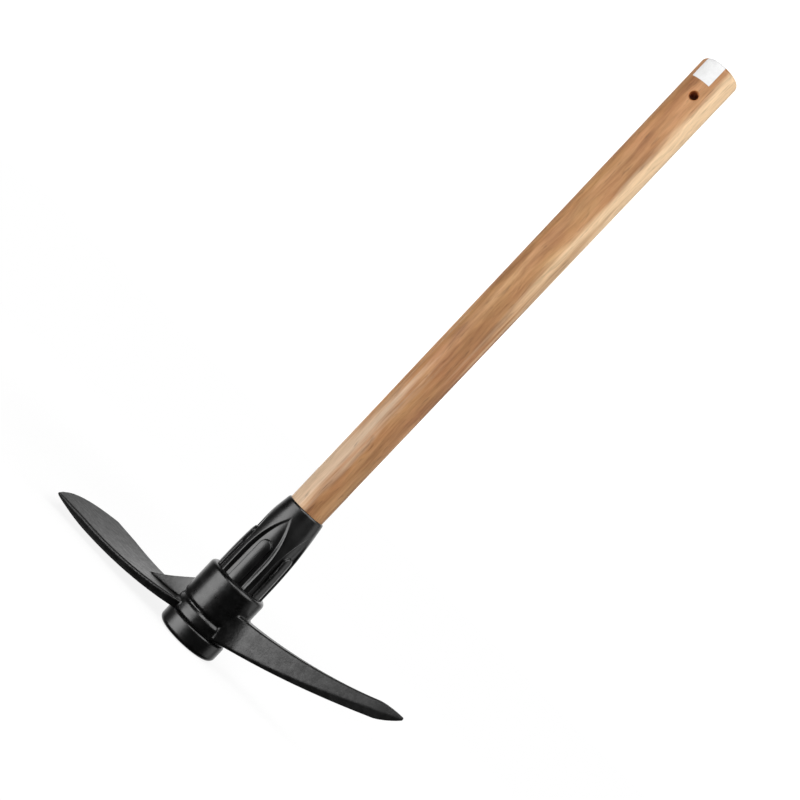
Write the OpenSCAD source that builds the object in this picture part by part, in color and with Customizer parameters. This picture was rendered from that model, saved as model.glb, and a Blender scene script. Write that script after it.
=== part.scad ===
// Pick axe with a short handle: a forged head with an adze blade and a pick, carried on a round
// wooden handle by a fluted bush that passes through the head's round eye.
// The bush's flat end lies on z = 0 and the handle runs up +Z. The pick points to +X, the adze to -X.

/* [Handle] */
// Overall length, from the bush's flat end to the end of the grip
tool_l = 650; // [560:1:900]
// Diameter of the handle inside the bush and where it leaves the bush
handle_d = 34.6; // [30:0.1:42]
// Diameter of the handle at the grip
grip_d = 37.2; // [34:0.1:42]
// Radius round the rim of the grip's end
grip_rim_r = 5; // [2:0.5:10]
// Height of the low dome on the grip's end
grip_dome_h = 1.8; // [0.5:0.1:4]
// Diameter of the hang hole
hang_d = 8; // [5:0.5:12]
// Distance from the hang hole's axis to the end of the grip
hang_inset = 37; // [20:1:60]
// Turn of the hang hole round the handle, from -Y towards +X, in degrees
hang_turn = 15; // [0:1:45]
// Depth of the handle's sawn end below the bush's flat end
end_recess = 1; // [0.5:0.1:3]

/* [Wedges] */
// Thickness of the hardwood wedge at the handle's sawn end
wedge_t = 5; // [3:0.1:8]
// Thickness of the hardwood wedge at its thin end
wedge_tip_t = 1; // [0.6:0.1:2]
// Length of the hardwood wedge
wedge_l = 45; // [30:1:60]
// Length that the saw kerf runs on past the hardwood wedge
kerf_spare = 2; // [1:0.5:6]
// Thickness of a steel wedge at the handle's sawn end
steel_t = 2.6; // [1.6:0.1:4]
// Thickness of a steel wedge at its thin end
steel_tip_t = 0.6; // [0.4:0.1:1]
// Length of a steel wedge
steel_l = 24; // [15:1:28]
// Width of a steel wedge
steel_w = 20; // [12:1:24]
// Distance between the two steel wedges
steel_pitch = 17; // [10:1:20]

/* [Bush] */
// Thickness of the bush between the handle and the eye
bush_wall = 7.6; // [5:0.1:10]
// Width of the step by which the flange stops the head
flange_lip = 4.1; // [2:0.1:8]
// Height of the flange
flange_h = 16.5; // [12:0.5:24]
// Radius round the flange's lower rim
flange_rim_r = 4; // [2:0.1:6]
// Thickness of the nose where the handle leaves it
nose_wall = 1.1; // [0.9:0.1:3]
// Length of the nose, from the eye to the handle
nose_l = 80.9; // [70:0.1:110]
// Length of the straight stretch of the nose next to the eye
nose_straight_l = 11; // [5:0.5:20]
// Radius round the rim where the handle leaves the nose
nose_rim_r = 0.6; // [0.3:0.1:0.8]
// Number of flutes round the nose
flute_n = 5; // [3:1:5]
// Width of a flute next to the eye
flute_w = 23.8; // [16:0.1:25]
// Distance from a flute's pointed top to the nose's upper end
flute_inset = 11.4; // [8:0.1:25]
// Height of a flute's straight sides above the eye
flute_straight_h = 25; // [15:1:35]
// Depth of a flute next to the eye
flute_depth = 2.6; // [1:0.1:3]
// Depth of a flute at its pointed top
flute_top_depth = 0.6; // [0.3:0.1:0.8]
// Width of the rib in a flute
rib_w = 13; // [8:0.1:15]
// Height of the rib's round top above the eye
rib_h = 44; // [25:1:46]
// Drop of the rib's face below the nose's surface
rib_drop = 0.5; // [0.2:0.1:0.8]
// Turn of the first flute round the bush, from -Y towards +X, in degrees
flute_turn = 13; // [0:1:72]

/* [Eye] */
// Thickness of the wall round the eye's bore
eye_wall = 4; // [3:0.1:8]
// Height of the eye
eye_h = 49.5; // [46:0.1:62]
// Height of the ring at the eye's lower end
eye_ring_h = 13.2; // [8:0.1:18]
// Radius round the edges of the seam between the ring and the barrel
eye_seam_r = 1.4; // [0.6:0.1:2.5]
// Radius round the eye's upper rim
eye_rim_r = 3.6; // [1:0.1:4]

/* [Pick] */
// Reach of the pick's point from the handle's axis
pick_reach = 185; // [150:0.1:240]
// Height of the pick's centre line above the eye's lower face, carried on to the handle's axis
pick_root_z = 11.8; // [9:0.1:16]
// Rise of the pick's centre line at the handle's axis, in degrees
pick_rise = 9.7; // [4:0.1:14]
// Radius of the pick's curve
pick_bend_r = 700; // [500:1:1200]
// Depth of the pick at the eye
pick_root_h = 28.4; // [22:0.1:32]
// Thickness of the pick at the eye
pick_root_w = 18; // [14:0.1:26]
// Depth of the pick where its point starts
pick_end_h = 15; // [10:0.1:20]
// Thickness of the pick where its point starts
pick_end_w = 12; // [8:0.1:16]
// Length of the four-sided point
pick_point_l = 23; // [15:0.5:40]
// Width of the point's blunt end
pick_blunt_w = 2; // [1:0.1:4]
// Bevel along the pick's upper edges
pick_bevel = 1.4; // [0.6:0.1:3]
// Bevel along the pick's lower edges where the point starts
pick_under_bevel = 4.4; // [2:0.1:4.8]
// Length over which the pick swells into the eye
pick_swell_l = 14; // [5:0.5:24]
// Width that the swell adds to the pick at the eye
pick_swell_w = 10; // [1:0.5:16]

/* [Adze] */
// Reach of the cutting edge from the handle's axis, at its middle
adze_reach = 167.5; // [130:0.5:220]
// Width of the blade at the cutting edge
adze_w = 104; // [76:0.5:112]
// Width at which the blade starts inside the eye
adze_root_w = 44; // [34:0.5:46]
// Thickness of the blade at the eye
adze_root_t = 8.4; // [7:0.1:12]
// Thickness of the blade between the eye and the cutting edge
adze_t = 8; // [5:0.1:8.2]
// Thickness of the cutting edge
adze_edge_t = 1; // [0.6:0.1:2]
// Length over which the blade thins to its cutting edge
adze_thin_l = 40; // [25:1:60]
// Distance that the corners of the cutting edge fall back from its middle
adze_crown = 12; // [4:0.5:16]
// Distance from the handle's axis to the lowest point of the blade's curve
adze_low_x = 111; // [100:1:130]
// Depth of that lowest point below the eye's lower face
adze_low_drop = 7.2; // [1:0.1:9]
// Radius of the blade's curve
adze_bend_r = 462; // [400:1:900]
// Length of the gusset on the blade, from the handle's axis
gusset_reach = 84; // [60:1:95]
// Height of the gusset above the eye's lower face, at the eye
gusset_h = 26.5; // [24:0.5:36]
// Thickness of the gusset at its foot
gusset_foot_w = 13; // [12:0.5:24]
// Thickness of the gusset along its crest
gusset_crest_w = 5; // [3:0.5:10]

/* [Hidden] */

$fn = 96;
// Gap on each side between the bush and the eye, and between the handle and the bush
fit_gap = 0.1;
// Gap on each side by which the nose passes through the eye's bore
pass_gap = 0.4;
// Gap round the flange where an arm of the head passes it
seat_gap = 0.6;
// Length by which a cut runs past the surface it cuts
overrun = 2;
// Radius round the flange's upper rim
flange_seam_r = 1.2;
// Steps along a rounded rim, a long curve and a lofted blade
rim_steps = 4;
curve_steps = 10;
loft_steps = 22;
// Power of the pick's thinning away from the eye
thin_power = 1.4;
// Power that keeps the four-sided point full before its blunt end
point_power = 1.5;
// Power that keeps the crown of the cutting edge out of the rest of the blade
crown_power = 4;
// Power of the blade's widening, which gives it shoulders by the eye
flare_power = 0.4;
// Power of the gusset's fall from the eye to the blade
gusset_power = 1.7;
// Places across half of the blade's width, as shares of it
blade_shares = [-1, -0.66, -0.33, 0, 0.33, 0.66, 1];
// Share of the thickness that the blade's long sides keep at their sharpest
blade_side_share = 0.88;

handle_r = handle_d/2;
grip_r = grip_d/2;
core_r = handle_r + bush_wall;
eye_bore_r = core_r + fit_gap;
eye_r = eye_bore_r + eye_wall;
flange_r = core_r + flange_lip;
eye_low_z = flange_h;
eye_top_z = flange_h + eye_h;
nose_r = eye_bore_r - pass_gap;
nose_tip_r = handle_r + nose_wall;
nose_top_z = eye_top_z + nose_l;
flute_h = nose_l - flute_inset;
// The flutes run on a little way into the eye
flute_low_z = eye_top_z - overrun;
// Both arms of the head start inside the eye's bore, which cuts them off
arm_start = eye_bore_r/2;

// Points on an arc about c, from angle a to angle b
function arc(c, r, a, b) =
    [for (i = [0 : rim_steps]) c + r*[cos(a + (b - a)*i/rim_steps), sin(a + (b - a)*i/rim_steps)]];

// Value that goes from a to b as the share t goes from 0 to 1
function between(a, b, t) = a + (b - a)*t;

// Share of the way from a to b at which v lies, held between 0 and 1
function share_of(v, a, b) = max(0, min(1, (v - a)/(b - a)));

// Closed skin over rings of points; point i of a ring faces point n - 1 - i across the ring
module loft(rings) {
    n = len(rings[0]);
    last = len(rings) - 1;
    sides = [
        for (k = [0 : last - 1], i = [0 : n - 1])
            let (a = k*n + i, b = k*n + (i + 1) % n)
            each [[a, b, b + n], [a, b + n, a + n]]
    ];
    first_cap = [
        for (i = [0 : n/2 - 2])
            each [[i, n - 1 - i, i + 1], [i + 1, n - 1 - i, n - 2 - i]]
    ];
    last_cap = [for (f = first_cap) [f[0] + last*n, f[2] + last*n, f[1] + last*n]];
    polyhedron(points = [for (ring = rings) each ring], faces = concat(sides, first_cap, last_cap));
}

// Radius of the nose's surface at height z: straight by the eye, then drawn in to the tip
function nose_r_at(z) =
    let (t = share_of(z, eye_top_z + nose_straight_l, nose_top_z))
    between(nose_r, nose_tip_r, t*t);

// Heights along the nose's curve
nose_curve_z = [for (i = [0 : curve_steps])
    between(eye_top_z + nose_straight_l, nose_top_z - nose_rim_r, i/curve_steps)];

// Outline extruded straight out from the bush's axis towards -Y
module radial_prism() {
    rotate([90, 0, 0])
        linear_extrude(height = nose_r + overrun)
            children();
}

// Pointed recess through the nose: straight sides by the eye, then two arcs that meet in a point
module flute_prism() {
    half_w = flute_w/2;
    rise = flute_h - flute_straight_h;
    arch_r = (half_w + rise*rise/half_w)/2;
    arch_z = eye_top_z + flute_straight_h;
    radial_prism()
        translate([-half_w, flute_low_z])
            square([flute_w, arch_z - flute_low_z]);
    intersection() {
        radial_prism()
            translate([arch_r - half_w, arch_z])
                circle(r = arch_r);
        radial_prism()
            translate([half_w - arch_r, arch_z])
                circle(r = arch_r);
        radial_prism()
            translate([-half_w, flute_low_z])
                square([flute_w, eye_top_z + flute_h + overrun - flute_low_z]);
    }
}

// Cone inside the nose whose surface is the floor of every flute
module flute_floor() {
    low_z = flute_low_z - overrun;
    top_z = eye_top_z + flute_h + overrun;
    translate([0, 0, low_z])
        cylinder(r1 = nose_r - flute_depth, r2 = nose_r_at(top_z) - flute_top_depth, h = top_z - low_z);
}

// Finger-shaped rib that stands in a flute, a little below the nose's surface
module flute_rib() {
    rib_r = rib_w/2;
    low_z = flute_low_z - 2*overrun;
    top_z = eye_top_z + rib_h + overrun;
    intersection() {
        union() {
            radial_prism()
                translate([0, eye_top_z + rib_h - rib_r])
                    circle(r = rib_r);
            radial_prism()
                translate([-rib_r, low_z])
                    square([rib_w, eye_top_z + rib_h - rib_r - low_z]);
        }
        translate([0, 0, low_z - overrun])
            cylinder(r1 = nose_r - rib_drop, r2 = nose_r_at(top_z) - rib_drop, h = top_z - low_z + overrun);
    }
}

// Bush before its bore and its flutes: flange, core in the eye's bore, and nose
module bush_blank() {
    rotate_extrude()
        polygon(concat(
            [[0, 0]],
            arc([flange_r - flange_rim_r, flange_rim_r], flange_rim_r, -90, 0),
            arc([flange_r - flange_seam_r, flange_h - flange_seam_r], flange_seam_r, 0, 90),
            [[core_r, flange_h], [core_r, eye_top_z], [nose_r, eye_top_z]],
            [for (z = nose_curve_z) [nose_r_at(z), z]],
            [[nose_tip_r - nose_rim_r, nose_top_z], [0, nose_top_z]]));
}

// Copies of one flute's shape round the nose, with a land between the first and the last on +X
module round_the_nose() {
    for (i = [0 : flute_n - 1])
        rotate([0, 0, 90 + (2*i + 1)*180/flute_n])
            children();
}

// Moulded bush: the fluted nose runs down the handle, with a rib in each flute
module fluted_bush() {
    color("#151517")
    rotate([0, 0, flute_turn - 90 - 180/flute_n])
        difference() {
            union() {
                difference() {
                    bush_blank();
                    round_the_nose() flute_prism();
                }
                flute_floor();
                round_the_nose() flute_rib();
            }
            translate([0, 0, -overrun])
                cylinder(r = handle_r + fit_gap, h = nose_top_z + 2*overrun);
        }
}

// Forged eye before its bore: a lower ring and a barrel with a rounded seam between them
module eye_blank() {
    ring_z = eye_low_z + eye_ring_h;
    rotate_extrude()
        polygon(concat(
            [[0, eye_low_z]],
            arc([eye_r - eye_seam_r, eye_low_z + eye_seam_r], eye_seam_r, -90, 0),
            arc([eye_r - eye_seam_r, ring_z - eye_seam_r], eye_seam_r, 0, 90),
            arc([eye_r - eye_seam_r, ring_z + eye_seam_r], eye_seam_r, -90, 0),
            arc([eye_r - eye_rim_r, eye_top_z - eye_rim_r], eye_rim_r, 0, 90),
            [[0, eye_top_z]]));
}

// Direction of the pick's centre line, in degrees, at the distance x from the handle's axis
function pick_angle(x) = asin(sin(pick_rise) + x/pick_bend_r);

// Height of the pick's centre line at the distance x from the handle's axis
function pick_z(x) = eye_low_z + pick_root_z + pick_bend_r*(cos(pick_rise) - cos(pick_angle(x)));

// One eight-sided section of the pick, square to its centre line, scaled by size towards the point
function pick_ring(x, size) =
    let (
        angle = pick_angle(x),
        t = share_of(x, eye_r, pick_reach - pick_point_l),
        swell = pow(1 - share_of(x, eye_r, eye_r + pick_swell_l), 2),
        h = between(pick_end_h, pick_root_h, pow(1 - t, thin_power))*size/2,
        w = (between(pick_root_w, pick_end_w, t) + pick_swell_w*swell)*size/2,
        top = pick_bevel*size,
        under = between(pick_bevel, pick_under_bevel, t)*size
    )
    [for (p = [
        [-w, h - top], [-w + top, h], [w - top, h], [w, h - top],
        [w, under - h], [w - under, -h], [under - w, -h], [-w, under - h]])
        [x - p[1]*sin(angle), p[0], pick_z(x) + p[1]*cos(angle)]];

module pick_arm() {
    point_x = pick_reach - pick_point_l;
    blunt_share = pick_blunt_w/pick_end_w;
    bar = [for (i = [0 : loft_steps]) pick_ring(between(arm_start, point_x, i/loft_steps), 1)];
    point = [for (i = [1 : rim_steps])
        let (t = i/rim_steps)
        pick_ring(between(point_x, pick_reach, t), between(1, blunt_share, pow(t, point_power)))];
    loft(concat(bar, point));
}

// Height of the blade's middle surface at the distance x from the handle's axis
function blade_z(x) =
    eye_low_z - adze_low_drop + adze_bend_r - sqrt(pow(adze_bend_r, 2) - pow(x - adze_low_x, 2));

// Thickness of the blade at the distance x from the handle's axis
function blade_t(x) =
    let (
        root = pow(1 - share_of(x, eye_r, adze_low_x), 2),
        edge = share_of(adze_reach - x, 0, adze_thin_l)
    )
    between(adze_edge_t, between(adze_t, adze_root_t, root), sqrt(edge));

// One section of the blade, upper row then lower row, bowed out towards the cutting edge
function blade_ring(x) =
    let (
        t = share_of(x, arm_start, adze_reach),
        half_w = between(adze_root_w, adze_w, pow(t, flare_power))/2,
        half_t = blade_t(x)/2,
        side_t = half_t*blade_side_share,
        fall = adze_crown*pow(t, crown_power),
        upper = [for (s = blade_shares)
            [fall*s*s - x, s*half_w, blade_z(x - fall*s*s) + (abs(s) == 1 ? side_t : half_t)]],
        lower = [for (s = blade_shares)
            [fall*s*s - x, -s*half_w, blade_z(x - fall*s*s) - (abs(s) == 1 ? side_t : half_t)]]
    )
    concat(upper, lower);

module adze_arm() {
    loft([for (i = [0 : loft_steps]) blade_ring(between(adze_reach, arm_start, i/loft_steps))]);
}

// One section of the gusset, from inside the blade up to its crest
function gusset_ring(x) =
    let (
        t = pow(1 - share_of(x, eye_r, gusset_reach), gusset_power),
        foot = gusset_foot_w/2,
        crest = gusset_crest_w/2,
        low = blade_z(x),
        skin = blade_z(x) + blade_t(x)/2,
        high = max(skin, between(low, eye_low_z + gusset_h, t))
    )
    [[-x, -crest, high], [-x, crest, high], [-x, foot, low], [-x, -foot, low]];

module gusset() {
    loft([for (i = [0 : curve_steps]) gusset_ring(between(gusset_reach, arm_start, i/curve_steps))]);
}

// Room under the arms for the bush's flange
module flange_seat() {
    translate([0, 0, -overrun])
        cylinder(r = flange_r + seat_gap, h = eye_low_z + overrun);
}

// Forged head: adze blade with its gusset, round eye and pick, all in one piece
module pick_head() {
    color("#2b2c2e")
    difference() {
        union() {
            eye_blank();
            difference() {
                union() {
                    pick_arm();
                    adze_arm();
                    gusset();
                }
                flange_seat();
            }
        }
        translate([0, 0, -overrun])
            cylinder(r = eye_bore_r, h = eye_top_z + nose_l);
    }
}

// Slim wedge that is thick at the handle's sawn end, of width w along X
module wedge_blank(thick, thin, length, w) {
    translate([-w/2, 0, end_recess])
        rotate([90, 0, 90])
            linear_extrude(height = w)
                polygon([[-thick/2, 0], [thick/2, 0], [thin/2, length], [-thin/2, length]]);
}

module steel_wedge_pair() {
    for (side = [-1, 1])
        translate([side*steel_pitch/2, 0, 0])
            rotate([0, 0, 90])
                wedge_blank(steel_t, steel_tip_t, steel_l, steel_w);
}

// Straight saw kerf past the wedge's thin end
module kerf_end() {
    translate([-handle_d/2, -wedge_tip_t/2, end_recess + wedge_l])
        cube([handle_d, wedge_tip_t, kerf_spare]);
}

// Turned handle with its kerfed end in the bush and a hang hole through the grip
module handle() {
    hang_z = tool_l - hang_inset;
    rim_z = tool_l - grip_dome_h - grip_rim_r;
    rim_in = grip_r - grip_rim_r;
    color("#c99a68")
    difference() {
        rotate_extrude()
            polygon(concat(
                [[0, end_recess], [handle_r, end_recess], [handle_r, nose_top_z]],
                arc([rim_in, rim_z], grip_rim_r, 0, 90),
                [for (i = [1 : rim_steps])
                    let (t = i/rim_steps)
                    [rim_in*(1 - t), tool_l - grip_dome_h*(1 - t)*(1 - t)]]));
        translate([0, 0, hang_z])
            rotate([90, 0, hang_turn])
                cylinder(d = hang_d, h = grip_d + 2*overrun, center = true);
        wedge_blank(wedge_t, wedge_tip_t, wedge_l, handle_d);
        kerf_end();
        steel_wedge_pair();
    }
}

// Hardwood wedge that spreads the handle's kerf inside the bush
module hardwood_wedge() {
    color("#a9754a")
    difference() {
        intersection() {
            wedge_blank(wedge_t, wedge_tip_t, wedge_l, handle_d);
            cylinder(r = handle_r, h = end_recess + wedge_l + overrun);
        }
        steel_wedge_pair();
    }
}

// Two steel wedges driven across the hardwood wedge
module steel_wedges() {
    color("#8f9194")
    steel_wedge_pair();
}

pick_head();
fluted_bush();
handle();
hardwood_wedge();
steel_wedges();
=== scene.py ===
# %% [markdown]
# # A pick axe with a fluted bush
#
# The tool has five parts: a forged head, a black moulded bush that passes through the head's eye, a round
# wooden handle, a wooden wedge that spreads the handle inside the bush, and two steel wedges driven
# across that one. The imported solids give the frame: the handle runs up +Z from the bush's flat end at the
# origin, the pick points to +X and the adze to -X. Shapes are worked out in that frame in millimetres and
# go into their meshes in metres, so nothing has to be fitted afterwards.

import bmesh
import bpy
import numpy as np
from mathutils import Matrix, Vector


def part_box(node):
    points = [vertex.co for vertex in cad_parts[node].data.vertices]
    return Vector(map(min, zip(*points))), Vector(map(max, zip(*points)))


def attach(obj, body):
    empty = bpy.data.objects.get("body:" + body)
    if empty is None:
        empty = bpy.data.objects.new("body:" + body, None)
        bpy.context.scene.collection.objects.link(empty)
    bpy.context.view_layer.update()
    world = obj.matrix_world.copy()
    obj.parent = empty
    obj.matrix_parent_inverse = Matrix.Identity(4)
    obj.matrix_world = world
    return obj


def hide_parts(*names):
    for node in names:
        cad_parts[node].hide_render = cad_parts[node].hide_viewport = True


MM = 0.001

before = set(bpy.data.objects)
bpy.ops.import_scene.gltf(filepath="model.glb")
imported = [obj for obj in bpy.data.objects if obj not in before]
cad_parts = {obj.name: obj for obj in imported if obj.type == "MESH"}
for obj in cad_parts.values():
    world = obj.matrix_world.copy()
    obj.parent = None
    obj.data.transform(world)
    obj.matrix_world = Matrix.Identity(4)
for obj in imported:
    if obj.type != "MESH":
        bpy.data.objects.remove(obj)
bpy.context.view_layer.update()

# %% [markdown]
# ## The camera
#
# The photograph looks at the tool from the pick's side, level, from about 1.35 m, and the tool leans in
# the picture. The tool could be tilted to match, but then it would leave its frame. A camera that is
# rolled about its own axis gives the same picture while the tool stands upright. Its three axes are
# written straight into its matrix, which is easier to follow here than three angles.

# %% Camera
PICTURE_PX = 800
PX_PER_MM = 1.205                  # at the handle's axis
AXIS_OFF_PX = 8.2                  # from the picture's middle to the handle's axis, square to the handle
SENSOR_W = 36.0                    # millimetres
VIEW_TURN = np.radians(26.0)       # round the handle, from the -Y side towards +X
VIEW_DISTANCE = 1.35               # metres
VIEW_HEIGHT = 0.2665               # metres above the bush's flat end
LEAN = np.arctan2(0.6877, 0.7261)  # the handle's run to the right against its run up the picture

up = np.array([0.0, 0.0, 1.0])
right = np.array([np.cos(VIEW_TURN), np.sin(VIEW_TURN), 0.0])
ahead = np.array([-np.sin(VIEW_TURN), np.cos(VIEW_TURN), 0.0])
aim = up*VIEW_HEIGHT - right*AXIS_OFF_PX/PX_PER_MM*MM


def placed(side, top, back, place):
    """Matrix of an object from its three axes and its place, which are its columns."""
    matrix = np.eye(4)
    matrix[:3] = np.stack([side, top, back, place], -1)
    return Matrix(matrix.tolist())


camera = bpy.data.objects.new("camera", bpy.data.cameras.new("camera"))
camera.data.sensor_width = SENSOR_W
camera.data.lens = SENSOR_W*PX_PER_MM/MM*VIEW_DISTANCE/PICTURE_PX
camera.matrix_world = placed(np.cos(LEAN)*right + np.sin(LEAN)*up, np.cos(LEAN)*up - np.sin(LEAN)*right,
                             -ahead, aim - ahead*VIEW_DISTANCE)
bpy.context.scene.collection.objects.link(camera)
bpy.context.scene.camera = camera
bpy.context.scene.view_settings.view_transform = "Standard"
print("camera lens: %.1f mm" % camera.data.lens)

# %% [markdown]
# ## Small helpers for node trees
#
# A material is a tree of nodes, and a node takes several lines to make by hand: create it, set its
# inputs, link it. Each helper below does that in one call, so that a material reads as a short list of
# what feeds what.

# %% Node helpers
def feed(tree, socket, value):
    """Links an output to an input socket, or sets a plain number or colour on it."""
    if isinstance(value, bpy.types.NodeSocket):
        tree.links.new(value, socket)
    else:
        socket.default_value = value


def add(tree, kind, settings=None, *first, **named):
    """Adds a node; values go to its first inputs in order, or to inputs by name, with _ for a space."""
    node = tree.nodes.new(kind)
    for key, value in (settings or {}).items():
        setattr(node, key, value)
    for socket, value in zip(node.inputs, first):
        feed(tree, socket, value)
    for key, value in named.items():
        feed(tree, node.inputs[key.replace("_", " ")], value)
    return node


def maths(tree, operation, *values):
    """Output of a Math node on one to three values."""
    return add(tree, "ShaderNodeMath", {"operation": operation}, *values).outputs[0]


def vector_maths(tree, operation, *values):
    """Output of a Vector Math node: a number for a length or a dot product, and otherwise a vector."""
    node = add(tree, "ShaderNodeVectorMath", {"operation": operation}, *values)
    return node.outputs["Value" if operation in ("LENGTH", "DOT_PRODUCT") else "Vector"]


def ranged(tree, value, source=(0.0, 1.0), result=(0.0, 1.0), kind="LINEAR"):
    """Output of a Map Range node: a value between the ends of source becomes one between those of result."""
    node = add(tree, "ShaderNodeMapRange", {"interpolation_type": kind}, Value=value, From_Min=source[0],
               From_Max=source[1], To_Min=result[0], To_Max=result[1])
    return node.outputs[0]


def blank_material(name):
    """A material with nothing but an output node; returns the material, its tree and that node."""
    material = bpy.data.materials.new(name)
    material.use_nodes = True
    material.node_tree.nodes.clear()
    return material, material.node_tree, material.node_tree.nodes.new("ShaderNodeOutputMaterial")


print("node helpers ready")

# %% [markdown]
# ## Background
#
# The photograph is a cut-out on white. A room that is white all round would turn the black head grey,
# because gloss mirrors whatever stands in front of it. So the world is white to the camera alone.
# Everything else sees a studio: a bright wall behind the tool that fades into a dark room on the camera's
# side.

# %% World
WHITE = (1.0, 1.0, 1.0, 1.0)
ROOM_LEVEL = 0.012
WALL_LEVEL = 1.3
WALL_SPAN = (0.45, 1.0)            # how straight a ray points away from the camera: no wall, full wall

world = bpy.data.worlds.new("studio")
bpy.context.scene.world = world
world.use_nodes = True
tree = world.node_tree
tree.nodes.clear()
direction = add(tree, "ShaderNodeTexCoord").outputs["Generated"]
depth = vector_maths(tree, "DOT_PRODUCT", direction, tuple(ahead))
wall = ranged(tree, depth, WALL_SPAN, kind="SMOOTHSTEP")
rays = add(tree, "ShaderNodeLightPath").outputs
direct = maths(tree, "MAXIMUM", rays["Is Camera Ray"], rays["Is Transmission Ray"])
mirrored = maths(tree, "MULTIPLY", rays["Is Glossy Ray"], wall)
white = maths(tree, "MAXIMUM", direct, mirrored)
level = maths(tree, "MAXIMUM", ranged(tree, wall, result=(ROOM_LEVEL, WALL_LEVEL)), white)
sky = add(tree, "ShaderNodeBackground", Color=WHITE, Strength=level)
tree.links.new(sky.outputs[0], add(tree, "ShaderNodeOutputWorld").inputs["Surface"])
print("world nodes:", len(tree.nodes))

# %% [markdown]
# ## Floor
#
# The tool stands on a pale sheet a hair under the bush. A plain matt floor would show a horizon against
# the white. Here only a share of the floor near the tool is matt, which is enough for a soft shadow, and
# the rest glows as white as the background. Light on its way to a surface passes through the floor,
# because the main lamp reaches below it, and reflections do too, because the photograph's gloss shows no
# floor.

# %% Floor
FLOOR_AT = -0.0006                 # metres
FLOOR_HALF = 2.5                   # metres
FLOOR_GREY = (0.55, 0.55, 0.55, 1.0)
SHADE_SPAN = (0.9, 0.3)            # metres from the origin: no shade yet, full shade
SHADE_SHARE = 0.3                  # how much of the floor near the tool is matt
GLOW_NEAR = 1.25                   # brighter there, to make up for the matt share

floor_look, tree, output = blank_material("pale_floor")
place = add(tree, "ShaderNodeNewGeometry").outputs["Position"]
near = ranged(tree, vector_maths(tree, "LENGTH", place), SHADE_SPAN, kind="SMOOTHSTEP")
rays = add(tree, "ShaderNodeLightPath").outputs
seen = maths(tree, "MULTIPLY", ranged(tree, near, result=(1.0, 1.0 - SHADE_SHARE)), rays["Is Camera Ray"])
matt = add(tree, "ShaderNodeBsdfDiffuse", Color=FLOOR_GREY)
glow = add(tree, "ShaderNodeEmission", Color=WHITE, Strength=ranged(tree, near, result=(1.0, GLOW_NEAR)))
surface = add(tree, "ShaderNodeMixShader", None, seen, matt.outputs[0], glow.outputs[0])
passing = maths(tree, "MAXIMUM", rays["Is Shadow Ray"], rays["Is Glossy Ray"])
clear = add(tree, "ShaderNodeBsdfTransparent")
whole = add(tree, "ShaderNodeMixShader", None, passing, surface.outputs[0], clear.outputs[0])
tree.links.new(whole.outputs[0], output.inputs["Surface"])

corners = [(x*FLOOR_HALF, y*FLOOR_HALF, FLOOR_AT) for x, y in ((-1, -1), (1, -1), (1, 1), (-1, 1))]
mesh = bpy.data.meshes.new("floor")
mesh.from_pydata(corners, [], [(0, 1, 2, 3)])
mesh.materials.append(floor_look)
floor = bpy.data.objects.new("floor", mesh)
bpy.context.scene.collection.objects.link(floor)
print("floor:", [round(v, 3) for v in floor.dimensions])

# %% [markdown]
# ## Lamps
#
# The photograph's main light is large, soft and low at the left: it makes the broad sheen on the blade,
# the eye and the wood. Two more lamps above shape the upper faces, and a weak one at the right draws the
# far edges. All are area lamps, because a point lamp gives hard shadows and pin-sharp highlights.

# %% Lamps
LAMP_AIM = np.array([0.0, 0.0, 0.25])
LAMP_REACH = 1.5                   # metres, level, from the handle's axis


def softbox(name, angle, height, size, watts):
    """Area lamp at an angle to the left of the camera's axis, in degrees, that faces the tool's middle."""
    a = np.radians(angle)
    out = LAMP_REACH*(-np.cos(a)*ahead - np.sin(a)*right) + up*height
    back = out/np.linalg.norm(out)
    side = np.cross(up, back)
    side /= np.linalg.norm(side)
    lamp = bpy.data.objects.new(name, bpy.data.lights.new(name, "AREA"))
    lamp.data.shape = "RECTANGLE"
    lamp.data.size = size[0]
    lamp.data.size_y = size[1]
    lamp.data.energy = watts
    lamp.matrix_world = placed(side, np.cross(back, side), back, LAMP_AIM + out)
    bpy.context.scene.collection.objects.link(lamp)
    return lamp


# Name, angle, height over the aim in metres, size in metres, watts
lamps = [
    softbox("key_softbox", 55, -0.25, (1.3, 1.25), 23),
    softbox("front_top", 12, 1.5, (0.9, 0.9), 14),
    softbox("right_top", -55, 1.5, (2.0, 2.0), 38),
    softbox("right_fill", -100, 0.0, (0.8, 1.4), 3.2),
]
print("lamps:", [lamp.name for lamp in lamps])

# %% [markdown]
# ## Surfaces from rings
#
# A box can be pushed into shape by hand, but nobody can read afterwards how it was done. Here every new
# piece is a row of closed rings of points, worked out as one array. Joining each ring to the next by
# quads gives the surface. A loft has a flat cap at each end, and a ring-shaped solid such as the bush
# joins its last ring to its first.

# %% Rings to a mesh
def skin(name, rings, loop=False):
    """Quads between closed rings of points (rows, around, xyz in mm), with two flat caps or as a loop."""
    rows, around = rings.shape[:2]
    at = np.arange(rows*around).reshape(rows, around)
    low = at if loop else at[:-1]
    high = np.roll(at, -1, 0) if loop else at[1:]
    faces = np.stack([low, np.roll(low, -1, 1), np.roll(high, -1, 1), high], -1).reshape(-1, 4).tolist()
    if not loop:
        faces += [at[0, ::-1].tolist(), at[-1].tolist()]
    mesh = bpy.data.meshes.new(name)
    mesh.from_pydata((rings.reshape(-1, 3)*MM).tolist(), [], faces)
    work = bmesh.new()
    work.from_mesh(mesh)
    bmesh.ops.recalc_face_normals(work, faces=work.faces)
    work.to_mesh(mesh)
    work.free()
    piece = bpy.data.objects.new(name, mesh)
    bpy.context.scene.collection.objects.link(piece)
    return piece


def box_mm(node):
    """Lowest and highest corner of a solid in the frame, in millimetres to a hundredth."""
    return [[round(v/MM, 2) for v in corner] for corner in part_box(node)]


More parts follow.
